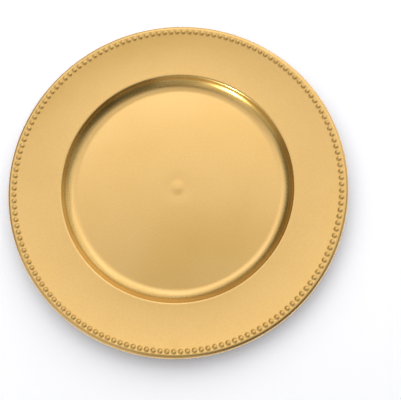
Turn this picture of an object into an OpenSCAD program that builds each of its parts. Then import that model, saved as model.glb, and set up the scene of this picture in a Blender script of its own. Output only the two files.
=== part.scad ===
// Round charger plate with a beaded border: one moulding, modelled as the regions it is made up of.
// The origin is at the centre of the circle on which the plate stands, +Z is up.

/* [Plate] */
// Outside diameter of the plate
plate_d = 330; // [310:1:360]
// Thickness of the moulding, measured square to its surface
wall_t = 2.2; // [1.8:0.1:2.4]

/* [Well] */
// Diameter of the flat floor of the well
floor_d = 199; // [170:0.5:205]
// Drop from the shoulder of the well to its floor
well_depth = 10.3; // [9.6:0.1:14]
// Steepest slope of the well wall, in degrees
wall_slope = 62; // [45:1:64]
// Radius of the hollow bend from the floor into the wall
fillet_r = 14.9; // [8:0.5:16.5]
// Radius of the rounded shoulder between the wall and the rim
shoulder_r = 3; // [2.8:0.1:4]

/* [Gate mark] */
// Diameter of the shallow dish round the gate mark
dish_d = 38; // [37:1:60]
// Width of the soft slope round the dish
dish_slope_w = 12; // [4:0.5:12.5]
// Depth of the shallow dish
dish_depth = 0.15; // [0.1:0.05:0.8]
// Diameter of the low dome left where the mould was filled
gate_d = 13; // [6:0.5:14]
// Height of the low dome
gate_h = 0.3; // [0.1:0.05:0.5]

/* [Rim] */
// Slope of the rim at the shoulder, rising outwards, in degrees
rim_slope = 5.5; // [3:0.5:8]
// Steeper slope that the hollow rim reaches at the beads, in degrees
edge_slope = 13; // [9:0.5:15]

/* [Beaded border] */
// Width of the band that carries the beads, measured level
band_w = 4.8; // [4.6:0.1:8]
// Distance from bead to bead along their circle
bead_pitch = 6.3; // [5.8:0.05:9]
// Diameter of a bead at its base
bead_d = 4.8; // [3:0.1:4.9]
// Height of a bead above the band
bead_h = 1.1; // [0.8:0.1:2.3]

/* [Edge] */
// Outer radius of the rolled edge
lip_r = 3.5; // [2.5:0.1:4]
// Height of the plain skirt below the rolled edge
skirt_h = 1.9; // [1:0.1:4]
// Rounding at the foot of the skirt
skirt_round = 0.6; // [0.3:0.1:0.8]

/* [Foot ring] */
// Height of the foot ring below the floor
foot_h = 1.6; // [1:0.1:3]
// Width of the foot ring where it stands
foot_w = 3; // [2:0.1:5]
// Distance from the edge of the well floor in to the foot ring
foot_inset = 3.5; // [2:0.5:10]
// Draft of each side of the foot ring
foot_draft = 0.4; // [0:0.1:0.8]

/* [Hidden] */
$fn = 180;
gold = "#E4BE78";
bright_gold = "#EBC98A";
bend_steps = 14;
small_steps = 6;
bead_facets = 40;

// Heights, built up from the table
floor_under_z = foot_h;
floor_top_z = floor_under_z + wall_t;
shoulder_z = floor_top_z + well_depth;

// The bend from the floor into the wall, then the straight wall, then the shoulder
floor_r = floor_d / 2;
fillet_centre = [floor_r, floor_top_z + fillet_r];
fillet_rise = fillet_r * (1 - cos(wall_slope));
shoulder_rise = shoulder_r * (cos(rim_slope) - cos(wall_slope));
straight_rise = well_depth - fillet_rise - shoulder_rise;
shoulder_start_r = floor_r + fillet_r * sin(wall_slope) + straight_rise / tan(wall_slope);
shoulder_centre = [
    shoulder_start_r + shoulder_r * sin(wall_slope),
    shoulder_z - shoulder_r * cos(rim_slope)
];
shoulder_end_r = shoulder_centre[0] - shoulder_r * sin(rim_slope);

// The hollow curve of the rim, then the straight band, which goes on at the slope reached
plate_r = plate_d / 2;
band_outer_r = plate_r - lip_r * (1 + sin(edge_slope));
band_inner_r = band_outer_r - band_w;
rim_curve_r = (band_inner_r - shoulder_end_r) / (sin(edge_slope) - sin(rim_slope));
rim_centre = [
    shoulder_end_r - rim_curve_r * sin(rim_slope),
    shoulder_z + rim_curve_r * cos(rim_slope)
];
band_inner_z = rim_centre[1] - rim_curve_r * cos(edge_slope);
band_outer_z = band_inner_z + band_w * tan(edge_slope);

// The beads stand square to the band, on its middle
bead_ring_r = (band_inner_r + band_outer_r) / 2;
bead_ring_z = (band_inner_z + band_outer_z) / 2;
bead_count = round(2 * PI * bead_ring_r / bead_pitch);

// The rolled edge and its skirt
lip_centre = [plate_r - lip_r, band_outer_z - lip_r * cos(edge_slope)];
skirt_foot_z = lip_centre[1] - skirt_h;

// The gate mark sits in the middle of its dish
gate_r = gate_d / 2;
dish_r = dish_d / 2;
dish_seat_r = dish_r - dish_slope_w;
gate_seat_z = floor_top_z - dish_depth;

// The foot ring
foot_outer_r = floor_r - foot_inset;
foot_inner_r = foot_outer_r - foot_w;

// Point at the given distance from a centre, in the direction of the given angle
function around(centre, r, angle) = centre + r * [cos(angle), sin(angle)];

// Arc from one angle to another, both ends included
function arc(centre, r, from, to, steps) =
    [for (k = [0:steps]) around(centre, r, from + (to - from) * k / steps)];

function reversed(points) = [for (k = [len(points) - 1:-1:0]) points[k]];

// Radius of the sphere whose cap has the given base radius and height
function cap_sphere_r(base_r, h) = (base_r * base_r + h * h) / (2 * h);

// A ring or disc whose section is closed from its upper and under outlines
module turned(upper, under) {
    rotate_extrude() polygon(concat(upper, reversed(under)));
}

// A domed cap that stands on z = 0
module cap(base_r, h) {
    sphere_r = cap_sphere_r(base_r, h);
    difference() {
        translate([0, 0, h - sphere_r]) sphere(r = sphere_r, $fn = bead_facets);
        translate([-sphere_r, -sphere_r, -2 * sphere_r])
            cube([2 * sphere_r, 2 * sphere_r, 2 * sphere_r]);
    }
}

// Flat floor of the well, with a shallow dish in its middle
module well_floor() {
    dish_edge = [
        for (k = [0:bend_steps])
            [
                dish_seat_r + dish_slope_w * k / bend_steps,
                floor_top_z - dish_depth * (1 + cos(180 * k / bend_steps)) / 2
            ]
    ];
    color(gold)
        turned(
            concat([[0, gate_seat_z]], dish_edge, [[floor_r, floor_top_z]]),
            [[0, floor_under_z], [floor_r, floor_under_z]]
        );
}

// Low dome at the centre, where the mould was filled
module gate_mark() {
    dome_r = cap_sphere_r(gate_r, gate_h);
    dome_centre = [0, gate_seat_z + gate_h - dome_r];
    color(gold)
        turned(
            arc(dome_centre, dome_r, 90, acos(gate_r / dome_r), small_steps),
            [[0, gate_seat_z]]
        );
}

// Hollow bend, steep wall and rounded shoulder
module well_wall() {
    fillet_to = wall_slope - 90;
    shoulder_from = 90 + wall_slope;
    shoulder_to = 90 + rim_slope;
    color(gold)
        turned(
            concat(
                arc(fillet_centre, fillet_r, -90, fillet_to, bend_steps),
                arc(shoulder_centre, shoulder_r, shoulder_from, shoulder_to, small_steps)
            ),
            concat(
                arc(fillet_centre, fillet_r + wall_t, -90, fillet_to, bend_steps),
                arc(shoulder_centre, shoulder_r - wall_t, shoulder_from, shoulder_to, small_steps)
            )
        );
}

// Wide rim, a shallow hollow curve that rises more steeply towards the beads
module rim() {
    color(gold)
        turned(
            arc(rim_centre, rim_curve_r, rim_slope - 90, edge_slope - 90, bend_steps),
            arc(rim_centre, rim_curve_r + wall_t, rim_slope - 90, edge_slope - 90, bend_steps)
        );
}

// Band under the beads
module border_band() {
    band_upper = [[band_inner_r, band_inner_z], [band_outer_r, band_outer_z]];
    color(gold)
        turned(
            band_upper,
            [for (point = band_upper) around(point, wall_t, edge_slope - 90)]
        );
}

// Ring of round beads
module beads() {
    color(bright_gold)
        for (k = [0:bead_count - 1])
            rotate([0, 0, 360 * k / bead_count])
                translate([bead_ring_r, 0, bead_ring_z])
                    rotate([0, -edge_slope, 0])
                        cap(bead_d / 2, bead_h);
}

// Edge rolled down into a plain skirt
module edge_lip() {
    skirt_inner_r = plate_r - wall_t;
    color(gold)
        turned(
            concat(
                arc(lip_centre, lip_r, 90 + edge_slope, 0, bend_steps),
                arc([plate_r - skirt_round, skirt_foot_z + skirt_round], skirt_round, 0, -90, small_steps)
            ),
            concat(
                arc(lip_centre, lip_r - wall_t, 90 + edge_slope, 0, small_steps),
                arc([skirt_inner_r + skirt_round, skirt_foot_z + skirt_round], skirt_round, 180, 270, small_steps)
            )
        );
}

// Ring on which the plate stands
module foot_ring() {
    color(gold)
        turned(
            [[foot_inner_r - foot_draft, foot_h], [foot_outer_r + foot_draft, foot_h]],
            [[foot_inner_r, 0], [foot_outer_r, 0]]
        );
}

well_floor();
gate_mark();
well_wall();
rim();
border_band();
beads();
edge_lip();
foot_ring();
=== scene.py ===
import math
from typing import NamedTuple

import bpy
from bpy.props import FloatProperty, FloatVectorProperty, IntProperty, PointerProperty
from mathutils import Euler, Matrix, Vector


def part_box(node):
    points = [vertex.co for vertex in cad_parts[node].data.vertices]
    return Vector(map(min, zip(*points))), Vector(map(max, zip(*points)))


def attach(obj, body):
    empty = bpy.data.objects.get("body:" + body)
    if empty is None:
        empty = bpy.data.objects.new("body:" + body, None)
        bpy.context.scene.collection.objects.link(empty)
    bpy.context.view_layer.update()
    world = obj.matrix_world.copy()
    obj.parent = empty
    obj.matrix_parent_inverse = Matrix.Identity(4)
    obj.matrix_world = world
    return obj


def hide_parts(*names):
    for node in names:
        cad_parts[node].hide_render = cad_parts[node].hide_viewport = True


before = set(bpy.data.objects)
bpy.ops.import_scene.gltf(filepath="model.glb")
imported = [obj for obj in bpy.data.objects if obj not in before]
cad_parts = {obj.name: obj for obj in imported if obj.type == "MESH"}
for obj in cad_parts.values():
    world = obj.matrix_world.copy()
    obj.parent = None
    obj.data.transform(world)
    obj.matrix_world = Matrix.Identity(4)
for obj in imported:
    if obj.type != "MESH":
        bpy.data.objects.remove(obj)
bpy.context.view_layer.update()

bl_info = {
    "name": "Beaded Charger Plate",
    "version": (1, 0, 0),
    "blender": (4, 5, 0),
    "location": "View3D > Sidebar > Charger Plate",
    "description": "Builds the moulded, gold lacquered charger plate round its packed model",
    "category": "Add Mesh",
}

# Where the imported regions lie
FLOOR_LOW, FLOOR_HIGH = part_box("well_floor")
GATE_LOW, GATE_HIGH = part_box("gate_mark")
RIM_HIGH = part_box("rim")[1]
BAND_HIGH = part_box("border_band")[1]
LIP_LOW, LIP_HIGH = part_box("edge_lip")
FOOT_LOW, FOOT_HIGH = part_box("foot_ring")

MM = 0.001
QUARTER = math.pi / 2
BODY = "root"

# A point nearer to the axis than this lies on it
ON_AXIS = 1e-9
# Edges that bend more than this stay sharp
SHARP_ANGLE = math.radians(35)

# How finely outlines are cut: the spacing or the number of their points, the steps of their arcs
FLAT_SPACING = 8 * MM
BAND_SPACING = 1 * MM
DISH_POINTS = 24
GATE_POINTS = 20
BEAD_CAP_STEP = math.radians(6)
BEAD_ROOT_STEP = math.radians(12)
FOOT_EDGE_STEP = math.radians(15)

# Steps of the other arcs against the arc step that is set with the sizes
WALL_UNDER_SHARE = 3
RIM_SHARE = 0.25
ROLL_SHARE = 2
SKIRT_SHARE = 10

# Facets round the small pieces
GATE_FACETS = 120
BEAD_FACETS = 32

# Width of the camera's sensor in millimetres
SENSOR_WIDTH = 36

# The slot that most regions share, and the lacquers by name
GOLD = "Gold Lacquer"
WALL_SHADED_GOLD = "Wall Gold Lacquer With Painted Shade"
BEAD_GOLD = "Bead Gold Lacquer"
FOOT_GOLD = "Foot Gold Lacquer"


# Sizes, colours and the studio

class PlateSizes(bpy.types.PropertyGroup):
    """Sizes of the moulding that its packed box doesn't give"""

    well_depth: FloatProperty(
        name="Well depth", description="Drop from the shoulder to the floor",
        default=10.3 * MM, unit="LENGTH",
    )
    wall_slope: FloatProperty(
        name="Wall slope", description="Steepest slope of the well wall",
        default=math.radians(62), subtype="ANGLE",
    )
    fillet_radius: FloatProperty(
        name="Fillet radius", description="Hollow bend from the floor into the wall",
        default=14.9 * MM, unit="LENGTH",
    )
    shoulder_radius: FloatProperty(
        name="Shoulder radius", description="Rounding between the wall and the rim",
        default=3 * MM, unit="LENGTH",
    )
    rim_slope: FloatProperty(
        name="Rim slope", description="Slope of the rim at the shoulder",
        default=math.radians(5.5), subtype="ANGLE",
    )
    edge_slope: FloatProperty(
        name="Edge slope", description="Slope that the hollow rim reaches at the beads",
        default=math.radians(13), subtype="ANGLE",
    )
    gate_runout: FloatProperty(
        name="Gate runout", description="How far the gate mark's dome runs out past its foot",
        default=2.5 * MM, unit="LENGTH",
    )
    dish_radius: FloatProperty(
        name="Dish radius", description="Shallow dish round the gate mark",
        default=19 * MM, unit="LENGTH",
    )
    dish_slope_width: FloatProperty(
        name="Dish slope width", description="Width of the dish's soft edge",
        default=12 * MM, unit="LENGTH",
    )
    bead_count: IntProperty(
        name="Bead count", description="Beads round the border", default=158, min=3,
    )
    bead_radius: FloatProperty(
        name="Bead radius", description="Radius of a bead at its base",
        default=2.4 * MM, unit="LENGTH",
    )
    bead_height: FloatProperty(
        name="Bead height", description="Height of a bead above the band",
        default=1.1 * MM, unit="LENGTH",
    )
    bead_root: FloatProperty(
        name="Bead root", description="Soft hollow rounding where a bead meets the band",
        default=1.3 * MM, unit="LENGTH",
    )
    bead_seat: FloatProperty(
        name="Bead seat", description="How far a bead reaches down into the band",
        default=0.1 * MM, unit="LENGTH",
    )
    skirt_rounding: FloatProperty(
        name="Skirt rounding", description="Rounding at the foot of the skirt",
        default=0.6 * MM, unit="LENGTH",
    )
    foot_draft: FloatProperty(
        name="Foot draft", description="Draft of each side of the foot ring",
        default=0.4 * MM, unit="LENGTH",
    )
    foot_width: FloatProperty(
        name="Foot width", description="Width of the foot ring where it stands",
        default=3 * MM, unit="LENGTH",
    )
    foot_rounding: FloatProperty(
        name="Foot rounding", description="Rounding at the foot ring's lower edges",
        default=0.5 * MM, unit="LENGTH",
    )
    turn_steps: IntProperty(
        name="Steps in a turn", description="Facets round each turned region", default=480, min=12,
    )
    arc_step: FloatProperty(
        name="Arc step", description="Angle between the points of an outline's arcs",
        default=math.radians(1), subtype="ANGLE",
    )


class LacquerLook(bpy.types.PropertyGroup):
    """Colours and finish of the gold lacquer"""

    gold: FloatVectorProperty(
        name="Gold", description="Colour of the lacquer",
        default=(0.865, 0.525, 0.13), min=0, max=1, subtype="COLOR",
    )
    deep_gold: FloatVectorProperty(
        name="Deep gold", description="Colour where the coat lies thick",
        default=(0.855, 0.51, 0.12), min=0, max=1, subtype="COLOR",
    )
    # A darker, less orange gold on the steep wall: painted shade that stands in for the shade
    # darkening the well's wall
    wall_gold_painted_shade: FloatVectorProperty(
        name="Wall gold with painted shade", description="Colour of the steep part of the well wall",
        default=(0.78, 0.5, 0.12), min=0, max=1, subtype="COLOR",
    )
    rubbed_gold: FloatVectorProperty(
        name="Rubbed gold", description="Colour where the coat is rubbed thin",
        default=(0.85, 0.6, 0.27), min=0, max=1, subtype="COLOR",
    )
    roughness: FloatProperty(
        name="Roughness", description="Roughness of the metallic layer",
        default=0.32, min=0, max=1, subtype="FACTOR",
    )
    coat_weight: FloatProperty(
        name="Coat weight", description="Strength of the clear top coat",
        default=1, min=0, max=1, subtype="FACTOR",
    )
    wall_coat_weight: FloatProperty(
        name="Wall coat weight", description="Strength of the top coat where it ran off the wall",
        default=0.6, min=0, max=1, subtype="FACTOR",
    )
    wall_roughness: FloatProperty(
        name="Wall roughness", description="Roughness of the metallic layer on the steep wall",
        default=0.24, min=0, max=1, subtype="FACTOR",
    )
    bead_roughness: FloatProperty(
        name="Bead roughness", description="Roughness of the metallic layer on the beads",
        default=0.5, min=0, max=1, subtype="FACTOR",
    )
    bead_gold: FloatVectorProperty(
        name="Bead gold", description="Colour of the thin coat on top of the beads",
        default=(0.92, 0.62, 0.22), min=0, max=1, subtype="COLOR",
    )
    bead_coat_weight: FloatProperty(
        name="Bead coat weight", description="Strength of the top coat where it ran off the beads",
        default=0.4, min=0, max=1, subtype="FACTOR",
    )
    coat_roughness: FloatProperty(
        name="Coat roughness", description="Roughness of the clear top coat",
        default=0.16, min=0, max=1, subtype="FACTOR",
    )
    coat_index: FloatProperty(
        name="Coat index", description="Refractive index of the clear top coat",
        default=1.9, min=1, max=3,
    )
    peel_depth: FloatProperty(
        name="Peel depth", description="Depth of the coat's orange peel",
        default=0.004 * MM, unit="LENGTH",
    )


class StudioSetup(bpy.types.PropertyGroup):
    """Camera, lamps and table"""

    camera_place: FloatVectorProperty(
        name="Camera place", description="Where the camera stands",
        default=(75.9 * MM, -145.25 * MM, 622.9 * MM), unit="LENGTH", subtype="TRANSLATION",
    )
    camera_turn: FloatVectorProperty(
        name="Camera turn", description="How the camera is turned",
        default=(math.radians(12.62), math.radians(3.499), math.radians(5.773)),
        unit="ROTATION", subtype="EULER",
    )
    focal_length: FloatProperty(
        name="Focal length", description="Focal length in millimetres on a 36 mm sensor",
        default=58.04, unit="CAMERA",
    )
    table_width: FloatProperty(
        name="Table width", description="Width of the white table", default=2.2, unit="LENGTH",
    )
    table_grey: FloatProperty(
        name="Table grey", description="Share of light that the table gives back",
        default=0.35, min=0, max=1, subtype="FACTOR",
    )
    table_lift: FloatVectorProperty(
        name="Table lift", description="How pale the camera and the gold show the table",
        default=(1.6, 1.6, 1.65), min=0, subtype="COLOR",
    )
    lamp_distance: FloatProperty(
        name="Lamp distance", description="From the plate to each softbox",
        default=1.5, unit="LENGTH",
    )
    least_level: FloatProperty(
        name="Least level", description="Softboxes weaker than this are left out",
        default=0.03, min=0,
    )
    sky_level: FloatProperty(
        name="Sky level", description="Level of the studio's even light", default=0.02, min=0,
    )


class LampRow(NamedTuple):
    """Square lamps at one height round the plate, brightest on one side"""

    name: str
    elevation: float
    count: int
    width: float
    even: float
    extra: float
    azimuth: float
    focus: float
    only: str = ""


# Angles in degrees and widths in metres. Each lamp gives the even level, and the extra one as well
# where it stands at the azimuth named, both in watts for each square metre of the lamp. The strip
# lamp lights one piece only, so that it draws its streak there and leaves the edge and beads alone.
LAMP_ROWS = (
    LampRow("zenith", 79, 6, 0.75, 0.15, 0.85, 310, 2),
    LampRow("upper", 66, 12, 0.75, 0.05, 0.85, 110, 1),
    LampRow("window_top", 53, 12, 0.75, 0, 1.5, 90, 1),
    LampRow("window_middle", 40, 12, 0.75, 0, 1.65, 90, 2),
    LampRow("window_low", 24, 12, 0.75, 0, 2.0, 70, 3),
    LampRow("window_foot", 8, 12, 0.75, 0, 1.5, 60, 4),
    LampRow("front_middle", 40, 12, 0.75, 0, 1.35, 235, 6),
    LampRow("front_low", 24, 12, 0.75, 0, 0.7, 240, 6),
    LampRow("front_foot", 8, 12, 0.75, 0, 1.9, 240, 6),
    LampRow("strip", 12, 1, 0.14, 0, 420, 234, 1, "well_wall_skin"),
)


# Outlines

def around(centre, radius, angle):
    """Point at a distance from a centre, in a direction, as (distance from the axis, height)"""
    return (centre[0] + radius * math.cos(angle), centre[1] + radius * math.sin(angle))


def arc(centre, radius, start, end, step):
    """Arc from one direction to another, both ends included"""
    count = max(2, math.ceil(abs(end - start) / step))
    return [around(centre, radius, start + (end - start) * k / count) for k in range(count + 1)]


def straight(start, end, spacing):
    """Points from start to end, both included, no further apart than spacing"""
    length = math.dist(start, end)
    count = max(1, math.ceil(length / spacing))
    return [
        (start[0] + (end[0] - start[0]) * k / count, start[1] + (end[1] - start[1]) * k / count)
        for k in range(count + 1)
    ]


def spread(start, end, count, shape):
    """Points that run out evenly from the axis, from start to end, at heights given by shape"""
    return [
        (start + (end - start) * k / count, shape(k / count))
        for k in range(count + 1)
    ]


class Profile:
    """The plate's cross-section, worked out from the frame and the sizes"""

    def __init__(self, sizes):
        self.wall = FLOOR_HIGH.z - FLOOR_LOW.z
        self.floor_radius = FLOOR_HIGH.x
        self.floor_top = FLOOR_HIGH.z
        self.floor_under = FLOOR_LOW.z
        self.gate_radius = GATE_HIGH.x
        self.gate_seat = GATE_LOW.z
        self.gate_height = GATE_HIGH.z - GATE_LOW.z
        # The hollow bend, the straight wall and the shoulder
        slope, rim_slope = sizes.wall_slope, sizes.rim_slope
        self.fillet_centre = (self.floor_radius, self.floor_top + sizes.fillet_radius)
        fillet_rise = sizes.fillet_radius * (1 - math.cos(slope))
        shoulder_rise = sizes.shoulder_radius * (math.cos(rim_slope) - math.cos(slope))
        straight_rise = sizes.well_depth - fillet_rise - shoulder_rise
        straight_run = straight_rise / math.tan(slope)
        shoulder_start = self.floor_radius + sizes.fillet_radius * math.sin(slope) + straight_run
        shoulder_top = self.floor_top + sizes.well_depth
        self.shoulder_centre = (
            shoulder_start + sizes.shoulder_radius * math.sin(slope),
            shoulder_top - sizes.shoulder_radius * math.cos(rim_slope),
        )
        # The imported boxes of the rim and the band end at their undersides, which reach further out
        overhang = self.wall * math.sin(sizes.edge_slope)
        self.band_inner = (RIM_HIGH.x - overhang, RIM_HIGH.z)
        self.band_outer = (BAND_HIGH.x - overhang, BAND_HIGH.z)
        self.bead_ring = (
            (self.band_inner[0] + self.band_outer[0]) / 2,
            (self.band_inner[1] + self.band_outer[1]) / 2,
        )
        shoulder_end = self.shoulder_centre[0] - sizes.shoulder_radius * math.sin(rim_slope)
        self.rim_radius = (self.band_inner[0] - shoulder_end) / (
            math.sin(sizes.edge_slope) - math.sin(rim_slope)
        )
        self.rim_centre = (
            shoulder_end - self.rim_radius * math.sin(rim_slope),
            shoulder_top + self.rim_radius * math.cos(rim_slope),
        )
        # The rolled edge and its skirt
        self.plate_radius = LIP_HIGH.x
        lip_width = self.plate_radius - self.band_outer[0]
        self.lip_radius = lip_width / (1 + math.sin(sizes.edge_slope))
        self.lip_centre = (
            self.plate_radius - self.lip_radius,
            self.band_outer[1] - self.lip_radius * math.cos(sizes.edge_slope),
        )
        self.skirt_foot = LIP_LOW.z


def turned_shape(outline, steps):
    """Corners and faces made by turning a closed outline, upper side first, about the axis"""
    turns = [math.tau * k / steps for k in range(steps)]
    directions = [(math.cos(turn), math.sin(turn)) for turn in turns]
    corners, rings = [], []
    for r, z in outline:
        first = len(corners)
        if r < ON_AXIS:
            corners.append((0, 0, z))
            rings.append([first] * steps)
        else:
            corners.extend((r * c, r * s, z) for c, s in directions)
            rings.append(list(range(first, first + steps)))
    faces = []
    for ring, after in zip(rings, rings[1:] + rings[:1]):
        if ring[0] == ring[-1] and after[0] == after[-1]:
            continue
        for k in range(steps):
            j = (k + 1) % steps
            faces.append(tuple(dict.fromkeys((ring[k], after[k], after[j], ring[j]))))
    return corners, faces


def turned_mesh(name, outline, steps):
    """A closed mesh of one turned outline"""
    corners, faces = turned_shape(outline, steps)
    mesh = bpy.data.meshes.new(name)
    mesh.from_pydata(corners, [], faces)
    return mesh


def place(name, mesh, material, node):
    """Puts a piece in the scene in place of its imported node"""
    mesh.shade_smooth()
    mesh.set_sharp_from_angle(angle=SHARP_ANGLE)
    mesh.materials.append(material)
    piece = bpy.data.objects.new(name, mesh)
    bpy.context.scene.collection.objects.link(piece)
    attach(piece, BODY)
    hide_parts(node)


# Materials

class Pattern(NamedTuple):
    """A noise texture, and the part of its values that runs from nothing to all"""

    scale: float
    detail: float
    span: tuple = (0, 1)


# Scales in patches for each metre
CLOUDS = Pattern(34, 3, (0.35, 0.65))
FLAKE = Pattern(520, 2, (0.3, 0.7))
PEEL = Pattern(300, 1)
SMUDGE_PATCHES = Pattern(21, 1, (0.55, 0.72))
SMUDGE_STREAKS = Pattern(130, 3, (0.45, 0.7))
WEAR_PATCHES = Pattern(160, 2, (0.35, 0.65))

# What something becomes where its pattern or mask is nothing, and where it is all
FLAKE_SHADE = (0.97, 1.03)
FLAKE_ROUGHNESS = (0.96, 1.04)
SMUDGE_SHADE = (1, 0.965)
SMUDGE_COAT = (1, 0.85)
WEAR_SHARE = (0.3, 1)

# How much of the rubbed colour shows where the wear is full
WEAR = 0.8
# Where the steep part of the wall sets in above the floor, and where it ends below the shoulder
STEEP_FOOT = (1.2 * MM, 3.5 * MM)
STEEP_TOP = (0.9 * MM, 0.1 * MM)
# A ray with fewer matt bounces than this has had none
NO_BOUNCE = 0.5
WHITE = (1, 1, 1, 1)


class Rub(NamedTuple):
    """A colour that shows where the coat is rubbed thin, and the heights between which it comes"""

    colour: tuple
    sound_height: float
    worn_height: float


def feed(tree, value, socket):
    """Links a node's output to a socket, or sets a plain value on it"""
    if isinstance(value, bpy.types.NodeSocket):
        tree.links.new(value, socket)
    else:
        socket.default_value = value


def noise(tree, where, pattern):
    """The value of a noise texture over the piece's own coordinates"""
    texture = tree.nodes.new("ShaderNodeTexNoise")
    texture.inputs["Scale"].default_value = pattern.scale
    texture.inputs["Detail"].default_value = pattern.detail
    tree.links.new(where.outputs["Object"], texture.inputs["Vector"])
    return texture.outputs["Fac"]


def ramp(tree, value, span, results=(0, 1)):
    """A value carried from a span to the results at its ends, and held outside it"""
    carry = tree.nodes.new("ShaderNodeMapRange")
    for name, end in zip(("From Min", "From Max", "To Min", "To Max"), (*span, *results)):
        feed(tree, end, carry.inputs[name])
    tree.links.new(value, carry.inputs["Value"])
    return carry.outputs["Result"]


def blend(tree, factor, first, second):
    """A colour between two others"""
    mix = tree.nodes.new("ShaderNodeMix")
    mix.data_type = "RGBA"
    for name, value in zip(("Factor", "A", "B"), (factor, first, second)):
        feed(tree, value, mix.inputs[name])
    return mix.outputs["Result"]


def scaled(tree, colour, factor):
    """A colour made lighter or darker by a factor"""
    scale = tree.nodes.new("ShaderNodeVectorMath")
    scale.operation = "SCALE"
    tree.links.new(colour, scale.inputs[0])
    tree.links.new(factor, scale.inputs["Scale"])
    return scale.outputs["Vector"]


def maths(tree, operation, first, second):
    """One number worked out from two others"""
    node = tree.nodes.new("ShaderNodeMath")
    node.operation = operation
    feed(tree, first, node.inputs[0])
    feed(tree, second, node.inputs[1])
    return node.outputs["Value"]


def product(tree, first, second):
    """Two values multiplied"""
    return maths(tree, "MULTIPLY", first, second)


def point_height(tree, where):
    """The height of each point of the piece above the table"""
    axes = tree.nodes.new("ShaderNodeSeparateXYZ")
    tree.links.new(where.outputs["Object"], axes.inputs["Vector"])
    return axes.outputs["Z"]


def new_group(name, inputs, outputs):
    """A shader node group with its sockets, and its input and output nodes"""
    group = bpy.data.node_groups.new(name, "ShaderNodeTree")
    for socket_name, kind, default in inputs:
        socket = group.interface.new_socket(name=socket_name, in_out="INPUT", socket_type=kind)
        socket.default_value = default
    for socket_name, kind in outputs:
        group.interface.new_socket(name=socket_name, in_out="OUTPUT", socket_type=kind)
    return group, group.nodes.new("NodeGroupInput"), group.nodes.new("NodeGroupOutput")


def lacquer_grain():
    """Sprayed metallic layer: soft clouds, fine flake and the faint orange peel of the coat"""
    name = "Lacquer Grain"
    if name in bpy.data.node_groups:
        return bpy.data.node_groups[name]
    group, given, result = new_group(
        name,
        [
            ("Gold", "NodeSocketColor", (0.8, 0.5, 0.2, 1)),
            ("Deep Gold", "NodeSocketColor", (0.7, 0.4, 0.15, 1)),
            ("Roughness", "NodeSocketFloat", 0.35),
        ],
        [
            ("Color", "NodeSocketColor"),
            ("Roughness", "NodeSocketFloat"),
            ("Height", "NodeSocketFloat"),
        ],
    )
    where = group.nodes.new("ShaderNodeTexCoord")
    clouds = noise(group, where, CLOUDS)
    flake = noise(group, where, FLAKE)
    peel = noise(group, where, PEEL)

    thickness = ramp(group, clouds, CLOUDS.span)
    coat = blend(group, thickness, given.outputs["Deep Gold"], given.outputs["Gold"])
    glint = ramp(group, flake, FLAKE.span, FLAKE_SHADE)
    group.links.new(scaled(group, coat, glint), result.inputs["Color"])

    uneven = ramp(group, flake, FLAKE.span, FLAKE_ROUGHNESS)
    rough = product(group, given.outputs["Roughness"], uneven)
    group.links.new(rough, result.inputs["Roughness"])
    group.links.new(peel, result.inputs["Height"])
    return group


def handling_marks():
    """Faint smudges that dull the coat where the plate has been handled"""
    name = "Handling Marks"
    if name in bpy.data.node_groups:
        return bpy.data.node_groups[name]
    group, given, result = new_group(
        name,
        [
            ("Color", "NodeSocketColor", (0.8, 0.5, 0.2, 1)),
            ("Coat Weight", "NodeSocketFloat", 1.0),
        ],
        [
            ("Color", "NodeSocketColor"),
            ("Coat Weight", "NodeSocketFloat"),
        ],
    )
    where = group.nodes.new("ShaderNodeTexCoord")
    patches = ramp(group, noise(group, where, SMUDGE_PATCHES), SMUDGE_PATCHES.span)
    streaks = ramp(group, noise(group, where, SMUDGE_STREAKS), SMUDGE_STREAKS.span)
    smudge = product(group, patches, streaks)
    shade = ramp(group, smudge, (0, 1), SMUDGE_SHADE)
    group.links.new(scaled(group, given.outputs["Color"], shade), result.inputs["Color"])
    dulled = product(group, given.outputs["Coat Weight"], ramp(group, smudge, (0, 1), SMUDGE_COAT))
    group.links.new(dulled, result.inputs["Coat Weight"])
    return group


def height_rub():
    """Thin gold on what stands proud: blends two colours between two heights, broken up by noise"""
    name = "Height Rub"
    if name in bpy.data.node_groups:
        return bpy.data.node_groups[name]
    group, given, result = new_group(
        name,
        [
            ("Color", "NodeSocketColor", (0.8, 0.5, 0.2, 1)),
            ("Rubbed", "NodeSocketColor", (0.85, 0.6, 0.3, 1)),
            ("Sound Height", "NodeSocketFloat", 0.0),
            ("Worn Height", "NodeSocketFloat", 0.001),
            ("Wear", "NodeSocketFloat", 0.5),
        ],
        [("Color", "NodeSocketColor")],
    )
    where = group.nodes.new("ShaderNodeTexCoord")
    heights = (given.outputs["Sound Height"], given.outputs["Worn Height"])
    reach = ramp(group, point_height(group, where), heights)
    patchy = ramp(group, noise(group, where, WEAR_PATCHES), WEAR_PATCHES.span, WEAR_SHARE)
    worn = product(group, product(group, reach, patchy), given.outputs["Wear"])
    colour = blend(group, worn, given.outputs["Color"], given.outputs["Rubbed"])
    group.links.new(colour, result.inputs["Color"])
    return group


def placed_group(tree, group, values):
    """A node group placed in a material, with its own values"""
    node = tree.nodes.new("ShaderNodeGroup")
    node.node_tree = group
    for name, value in values.items():
        feed(tree, value, node.inputs[name])
    return node


def steep_part(tree, foot, top):
    """A mask that is 1 on the steep part of the wall, 0 on the bend below and the shoulder above"""
    level = point_height(tree, tree.nodes.new("ShaderNodeTexCoord"))
    return product(tree, ramp(tree, level, foot), ramp(tree, level, top, (1, 0)))


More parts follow.
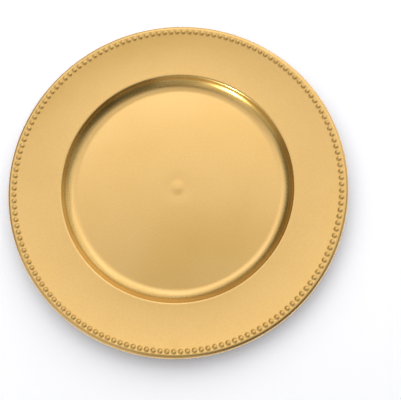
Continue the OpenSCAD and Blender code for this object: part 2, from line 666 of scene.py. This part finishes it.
def gold_material(name, look, roughness, coat_weight, rub=None, steep=None):
    """Metallic gold under a clear coat, changed by a rub or on a steep part where one is given; the
    steep part also takes a darker gold as painted shade
    """
    material = bpy.data.materials.new(name)
    material.use_nodes = True
    tree = material.node_tree
    surface = tree.nodes["Principled BSDF"]
    surface.inputs["Metallic"].default_value = 1
    surface.inputs["Coat Roughness"].default_value = look.coat_roughness
    surface.inputs["Coat IOR"].default_value = look.coat_index

    if steep:
        mask = steep_part(tree, *steep)
        roughness = ramp(tree, mask, (0, 1), (roughness, look.wall_roughness))
        coat_weight = ramp(tree, mask, (0, 1), (coat_weight, look.wall_coat_weight))
    grain = placed_group(tree, lacquer_grain(), {
        "Gold": (*look.gold, 1),
        "Deep Gold": (*look.deep_gold, 1),
        "Roughness": roughness,
    })
    colour = grain.outputs["Color"]
    if rub:
        worn = placed_group(tree, height_rub(), {
            "Color": colour,
            "Rubbed": (*rub.colour, 1),
            "Sound Height": rub.sound_height,
            "Worn Height": rub.worn_height,
            "Wear": WEAR,
        })
        colour = worn.outputs["Color"]
    if steep:
        # Painted shade: the steep part of the wall takes the darker wall gold
        colour = blend(tree, mask, colour, (*look.wall_gold_painted_shade, 1))
    marks = placed_group(tree, handling_marks(), {"Color": colour, "Coat Weight": coat_weight})
    bump = tree.nodes.new("ShaderNodeBump")
    bump.inputs["Distance"].default_value = look.peel_depth

    for output, socket in (
        (grain.outputs["Height"], bump.inputs["Height"]),
        (marks.outputs["Color"], surface.inputs["Base Color"]),
        (grain.outputs["Roughness"], surface.inputs["Roughness"]),
        (marks.outputs["Coat Weight"], surface.inputs["Coat Weight"]),
        (bump.outputs["Normal"], surface.inputs["Normal"]),
    ):
        tree.links.new(output, socket)
    return material


def lacquer(context, name):
    """The named lacquer of this plate, made on first use"""
    if name in bpy.data.materials:
        return bpy.data.materials[name]
    look, sizes = context.scene.lacquer_look, context.scene.plate_sizes
    roughness, coat_weight = look.roughness, look.coat_weight
    rub = steep = None
    if name == BEAD_GOLD:
        root = BAND_HIGH.z
        roughness, coat_weight = look.bead_roughness, look.bead_coat_weight
        rub = Rub(look.bead_gold, root - sizes.bead_height, root)
    elif name == FOOT_GOLD:
        rub = Rub(look.rubbed_gold, FOOT_HIGH.z, FOOT_LOW.z)
    elif name == WALL_SHADED_GOLD:
        floor, shoulder = FLOOR_HIGH.z, FLOOR_HIGH.z + sizes.well_depth
        steep = (
            [floor + rise for rise in STEEP_FOOT],
            [shoulder - drop for drop in STEEP_TOP],
        )
    return gold_material(name, look, roughness, coat_weight, rub, steep)


# Operators, one for each region of the moulding and one for the studio

class PLATE_OT_well_floor(bpy.types.Operator):
    """Build the flat floor of the well with its shallow dish"""

    bl_idname = "plate.well_floor"
    bl_label = "Well Floor"

    def execute(self, context):
        sizes = context.scene.plate_sizes
        profile = Profile(sizes)
        seat_radius = sizes.dish_radius - sizes.dish_slope_width
        depth = profile.floor_top - profile.gate_seat
        slope = spread(
            seat_radius, sizes.dish_radius, DISH_POINTS,
            lambda share: profile.floor_top - depth * (1 + math.cos(math.pi * share)) / 2,
        )
        edge = (profile.floor_radius, profile.floor_top)
        under_edge = (profile.floor_radius, profile.floor_under)
        flat = straight(slope[-1], edge, FLAT_SPACING)
        under = straight((0, profile.floor_under), under_edge, FLAT_SPACING)
        outline = [(0, profile.gate_seat)] + slope + flat[1:] + under[::-1]
        mesh = turned_mesh("well_floor_mesh", outline, sizes.turn_steps)
        place("well_floor_skin", mesh, lacquer(context, GOLD), "well_floor")
        return {"FINISHED"}


class PLATE_OT_gate_mark(bpy.types.Operator):
    """Build the low dome in the middle of the dish"""

    bl_idname = "plate.gate_mark"
    bl_label = "Gate Mark"

    def execute(self, context):
        sizes = context.scene.plate_sizes
        profile = Profile(sizes)
        seat, rise = profile.gate_seat, profile.gate_height
        dome = spread(
            0, profile.gate_radius + sizes.gate_runout, GATE_POINTS,
            lambda share: seat + rise * (1 + math.cos(math.pi * share)) / 2,
        )
        mesh = turned_mesh("gate_mark_mesh", dome + [(0, seat)], GATE_FACETS)
        place("gate_mark_dome", mesh, lacquer(context, GOLD), "gate_mark")
        return {"FINISHED"}


class PLATE_OT_well_wall(bpy.types.Operator):
    """Build the hollow bend, the steep wall and the rounded shoulder"""

    bl_idname = "plate.well_wall"
    bl_label = "Well Wall"

    def execute(self, context):
        sizes = context.scene.plate_sizes
        profile = Profile(sizes)
        upper = self.side(sizes, profile, 0, sizes.arc_step)
        under = self.side(sizes, profile, profile.wall, sizes.arc_step * WALL_UNDER_SHARE)
        mesh = turned_mesh("well_wall_mesh", upper + under[::-1], sizes.turn_steps)
        place("well_wall_skin", mesh, lacquer(context, WALL_SHADED_GOLD), "well_wall")
        return {"FINISHED"}

    def side(self, sizes, profile, depth, step):
        """The wall's outline at a depth below its upper surface"""
        fillet = arc(
            profile.fillet_centre, sizes.fillet_radius + depth,
            -QUARTER, sizes.wall_slope - QUARTER, step,
        )
        shoulder = arc(
            profile.shoulder_centre, sizes.shoulder_radius - depth,
            QUARTER + sizes.wall_slope, QUARTER + sizes.rim_slope, step,
        )
        return fillet + shoulder


class PLATE_OT_rim(bpy.types.Operator):
    """Build the wide rim, a shallow hollow curve that rises more steeply towards the beads"""

    bl_idname = "plate.rim"
    bl_label = "Rim"

    def execute(self, context):
        sizes = context.scene.plate_sizes
        profile = Profile(sizes)
        start, end = sizes.rim_slope - QUARTER, sizes.edge_slope - QUARTER
        step = sizes.arc_step * RIM_SHARE
        upper = arc(profile.rim_centre, profile.rim_radius, start, end, step)
        under = arc(profile.rim_centre, profile.rim_radius + profile.wall, start, end, step)
        mesh = turned_mesh("rim_mesh", upper + under[::-1], sizes.turn_steps)
        place("rim_skin", mesh, lacquer(context, GOLD), "rim")
        return {"FINISHED"}


class PLATE_OT_border_band(bpy.types.Operator):
    """Build the sloping band under the beads"""

    bl_idname = "plate.border_band"
    bl_label = "Border Band"

    def execute(self, context):
        sizes = context.scene.plate_sizes
        profile = Profile(sizes)
        down = sizes.edge_slope - QUARTER
        upper = straight(profile.band_inner, profile.band_outer, BAND_SPACING)
        under = [around(point, profile.wall, down) for point in upper]
        mesh = turned_mesh("border_band_mesh", upper + under[::-1], sizes.turn_steps)
        place("border_band_skin", mesh, lacquer(context, GOLD), "border_band")
        return {"FINISHED"}


class PLATE_OT_beads(bpy.types.Operator):
    """Build the ring of beads, each with a soft rounding at its root"""

    bl_idname = "plate.beads"
    bl_label = "Beads"

    def execute(self, context):
        sizes = context.scene.plate_sizes
        profile = Profile(sizes)
        bead_corners, bead_faces = turned_shape(self.outline(sizes), BEAD_FACETS)
        ring_radius, ring_height = profile.bead_ring
        on_band = (
            Matrix.Translation((ring_radius, 0, ring_height))
            @ Matrix.Rotation(-sizes.edge_slope, 4, "Y")
        )
        corners, faces = [], []
        for k in range(sizes.bead_count):
            there = Matrix.Rotation(math.tau * k / sizes.bead_count, 4, "Z") @ on_band
            first = len(corners)
            corners.extend(there @ Vector(corner) for corner in bead_corners)
            faces.extend(tuple(first + i for i in face) for face in bead_faces)
        mesh = bpy.data.meshes.new("beads_mesh")
        mesh.from_pydata(corners, [], faces)
        place("beads_ring", mesh, lacquer(context, BEAD_GOLD), "beads")
        return {"FINISHED"}

    def outline(self, sizes):
        """A cap of a sphere whose side runs out into a soft hollow rounding, seated in the band"""
        base, height, root = sizes.bead_radius, sizes.bead_height, sizes.bead_root
        sphere = (base * base + height * height) / (2 * height)
        centre_height = height - sphere
        # The hollow rounding touches the sphere outside and the band below
        reach = math.sqrt((sphere + root) ** 2 - (root - centre_height) ** 2)
        touch = math.atan2(root - centre_height, reach)
        cap = arc((0, centre_height), sphere, QUARTER, touch, BEAD_CAP_STEP)
        hollow = arc((reach, root), root, math.pi + touch, 3 * QUARTER, BEAD_ROOT_STEP)
        seat = [(reach, -sizes.bead_seat), (0, -sizes.bead_seat)]
        return [(0, height)] + cap[1:] + hollow[1:] + seat


class PLATE_OT_edge_lip(bpy.types.Operator):
    """Build the edge rolled down into a plain skirt"""

    bl_idname = "plate.edge_lip"
    bl_label = "Edge Lip"

    def execute(self, context):
        sizes = context.scene.plate_sizes
        profile = Profile(sizes)
        start = QUARTER + sizes.edge_slope
        small, coarse = sizes.skirt_rounding, sizes.arc_step * SKIRT_SHARE
        foot = profile.skirt_foot + small
        inner = profile.plate_radius - profile.wall
        fine = sizes.arc_step * ROLL_SHARE
        roll = arc(profile.lip_centre, profile.lip_radius, start, 0, fine)
        outer_foot = arc((profile.plate_radius - small, foot), small, 0, -QUARTER, coarse)
        inner_foot = arc((inner + small, foot), small, -QUARTER, -math.pi, coarse)
        inner_roll = arc(profile.lip_centre, profile.lip_radius - profile.wall, 0, start, coarse)
        mesh = turned_mesh(
            "edge_lip_mesh", roll + outer_foot + inner_foot + inner_roll, sizes.turn_steps
        )
        place("edge_lip_skin", mesh, lacquer(context, GOLD), "edge_lip")
        return {"FINISHED"}


class PLATE_OT_foot_ring(bpy.types.Operator):
    """Build the ring on which the plate stands"""

    bl_idname = "plate.foot_ring"
    bl_label = "Foot Ring"

    def execute(self, context):
        sizes = context.scene.plate_sizes
        outer_top = FOOT_HIGH.x
        outer = outer_top - sizes.foot_draft
        inner = outer - sizes.foot_width
        inner_top = inner - sizes.foot_draft
        small = sizes.foot_rounding
        lean = math.atan2(sizes.foot_draft, FOOT_HIGH.z)
        outer_edge = arc((outer - small, small), small, -lean, -QUARTER, FOOT_EDGE_STEP)
        inner_edge = arc((inner + small, small), small, -QUARTER, lean - math.pi, FOOT_EDGE_STEP)
        outline = [(outer_top, FOOT_HIGH.z)] + outer_edge + inner_edge + [(inner_top, FOOT_HIGH.z)]
        mesh = turned_mesh("foot_ring_mesh", outline, sizes.turn_steps)
        place("foot_ring_skin", mesh, lacquer(context, FOOT_GOLD), "foot_ring")
        return {"FINISHED"}


class PLATE_OT_studio(bpy.types.Operator):
    """Set the white table, the softboxes and the camera"""

    bl_idname = "plate.studio"
    bl_label = "Studio"

    def execute(self, context):
        scene = context.scene
        setup = scene.studio_setup
        scene.view_settings.view_transform = "Standard"
        self.table(scene, setup)
        self.sky(scene, setup)
        for row in LAMP_ROWS:
            self.lamp_row(scene, setup, row)
        self.camera(scene, setup)
        return {"FINISHED"}

    def table(self, scene, setup):
        """The square, level surface on which the plate stands"""
        half = setup.table_width / 2
        mesh = bpy.data.meshes.new("studio_table_mesh")
        corners = [(-half, -half, 0), (half, -half, 0), (half, half, 0), (-half, half, 0)]
        mesh.from_pydata(corners, [], [(0, 1, 2, 3)])
        table = bpy.data.objects.new("studio_table", mesh)
        scene.collection.objects.link(table)
        mesh.materials.append(self.table_material(setup))

    def table_material(self, setup):
        """Matt grey that the camera and the gold see white, so that the table keeps the shadow"""
        material = bpy.data.materials.new("Studio Table")
        material.use_nodes = True
        tree = material.node_tree
        tree.nodes.remove(tree.nodes["Principled BSDF"])
        surface = tree.nodes.new("ShaderNodeBsdfDiffuse")
        rays = tree.nodes.new("ShaderNodeLightPath")
        # The gold shows the white table too, but doesn't throw its extra light back into the shadow
        direct = maths(tree, "LESS_THAN", rays.outputs["Diffuse Depth"], NO_BOUNCE)
        mirrored = product(tree, rays.outputs["Is Glossy Ray"], direct)
        seen = maths(tree, "MAXIMUM", rays.outputs["Is Camera Ray"], mirrored)
        grey = setup.table_grey
        shade = blend(tree, seen, (grey, grey, grey, 1), (*setup.table_lift, 1))
        tree.links.new(shade, surface.inputs["Color"])
        tree.links.new(surface.outputs["BSDF"], tree.nodes["Material Output"].inputs["Surface"])
        return material

    def sky(self, scene, setup):
        """A dim room that the camera itself sees as a white backdrop"""
        world = bpy.data.worlds.new("Studio Sky")
        world.use_nodes = True
        scene.world = world
        tree = world.node_tree
        light = tree.nodes["Background"]
        light.inputs["Color"].default_value = WHITE
        rays = tree.nodes.new("ShaderNodeLightPath")
        level = ramp(tree, rays.outputs["Is Camera Ray"], (0, 1), (setup.sky_level, 1))
        tree.links.new(level, light.inputs["Strength"])

    def lamp_row(self, scene, setup, row):
        """Area lamps that look at the plate's centre, without those too weak to matter"""
        elevation = math.radians(row.elevation)
        for k in range(row.count):
            turn = math.tau * k / row.count
            level = row.even + row.extra * math.cos(turn / 2) ** (2 * row.focus)
            if level < setup.least_level:
                continue
            name = f"{row.name}_{k + 1}"
            light = bpy.data.lights.new(name, "AREA")
            light.shape = "SQUARE"
            light.size = row.width
            light.energy = level * row.width ** 2
            lamp = bpy.data.objects.new(name, light)
            scene.collection.objects.link(lamp)
            azimuth = math.radians(row.azimuth) + turn
            direction = Vector((
                math.cos(elevation) * math.cos(azimuth),
                math.cos(elevation) * math.sin(azimuth),
                math.sin(elevation),
            ))
            lamp.location = direction * setup.lamp_distance
            lamp.rotation_euler = (-direction).to_track_quat("-Z", "Y").to_euler()
            if row.only:
                lit = bpy.data.collections.new(f"{name}_lit")
                lit.objects.link(bpy.data.objects[row.only])
                lamp.light_linking.receiver_collection = lit

    def camera(self, scene, setup):
        """The view of the photograph"""
        lens = bpy.data.cameras.new("camera")
        lens.lens = setup.focal_length
        lens.sensor_width = SENSOR_WIDTH
        camera = bpy.data.objects.new("camera", lens)
        scene.collection.objects.link(camera)
        camera.location = setup.camera_place
        camera.rotation_euler = Euler(setup.camera_turn, "XYZ")
        scene.camera = camera


OPERATORS = (
    PLATE_OT_well_floor,
    PLATE_OT_gate_mark,
    PLATE_OT_well_wall,
    PLATE_OT_rim,
    PLATE_OT_border_band,
    PLATE_OT_beads,
    PLATE_OT_edge_lip,
    PLATE_OT_foot_ring,
    PLATE_OT_studio,
)


class PLATE_PT_panel(bpy.types.Panel):
    """Lists the plate's regions and the studio"""

    bl_idname = "PLATE_PT_panel"
    bl_label = "Charger Plate"
    bl_space_type = "VIEW_3D"
    bl_region_type = "UI"
    bl_category = "Charger Plate"

    def draw(self, context):
        for operator in OPERATORS:
            self.layout.operator(operator.bl_idname)


CLASSES = (PlateSizes, LacquerLook, StudioSetup, *OPERATORS, PLATE_PT_panel)


def register():
    for cls in CLASSES:
        bpy.utils.register_class(cls)
    bpy.types.Scene.plate_sizes = PointerProperty(type=PlateSizes)
    bpy.types.Scene.lacquer_look = PointerProperty(type=LacquerLook)
    bpy.types.Scene.studio_setup = PointerProperty(type=StudioSetup)


def unregister():
    del bpy.types.Scene.studio_setup
    del bpy.types.Scene.lacquer_look
    del bpy.types.Scene.plate_sizes
    for cls in reversed(CLASSES):
        bpy.utils.unregister_class(cls)


def main():
    register()
    for operator in OPERATORS:
        group, call = operator.bl_idname.split(".")
        getattr(getattr(bpy.ops, group), call)()


if __name__ == "__main__":
    main()
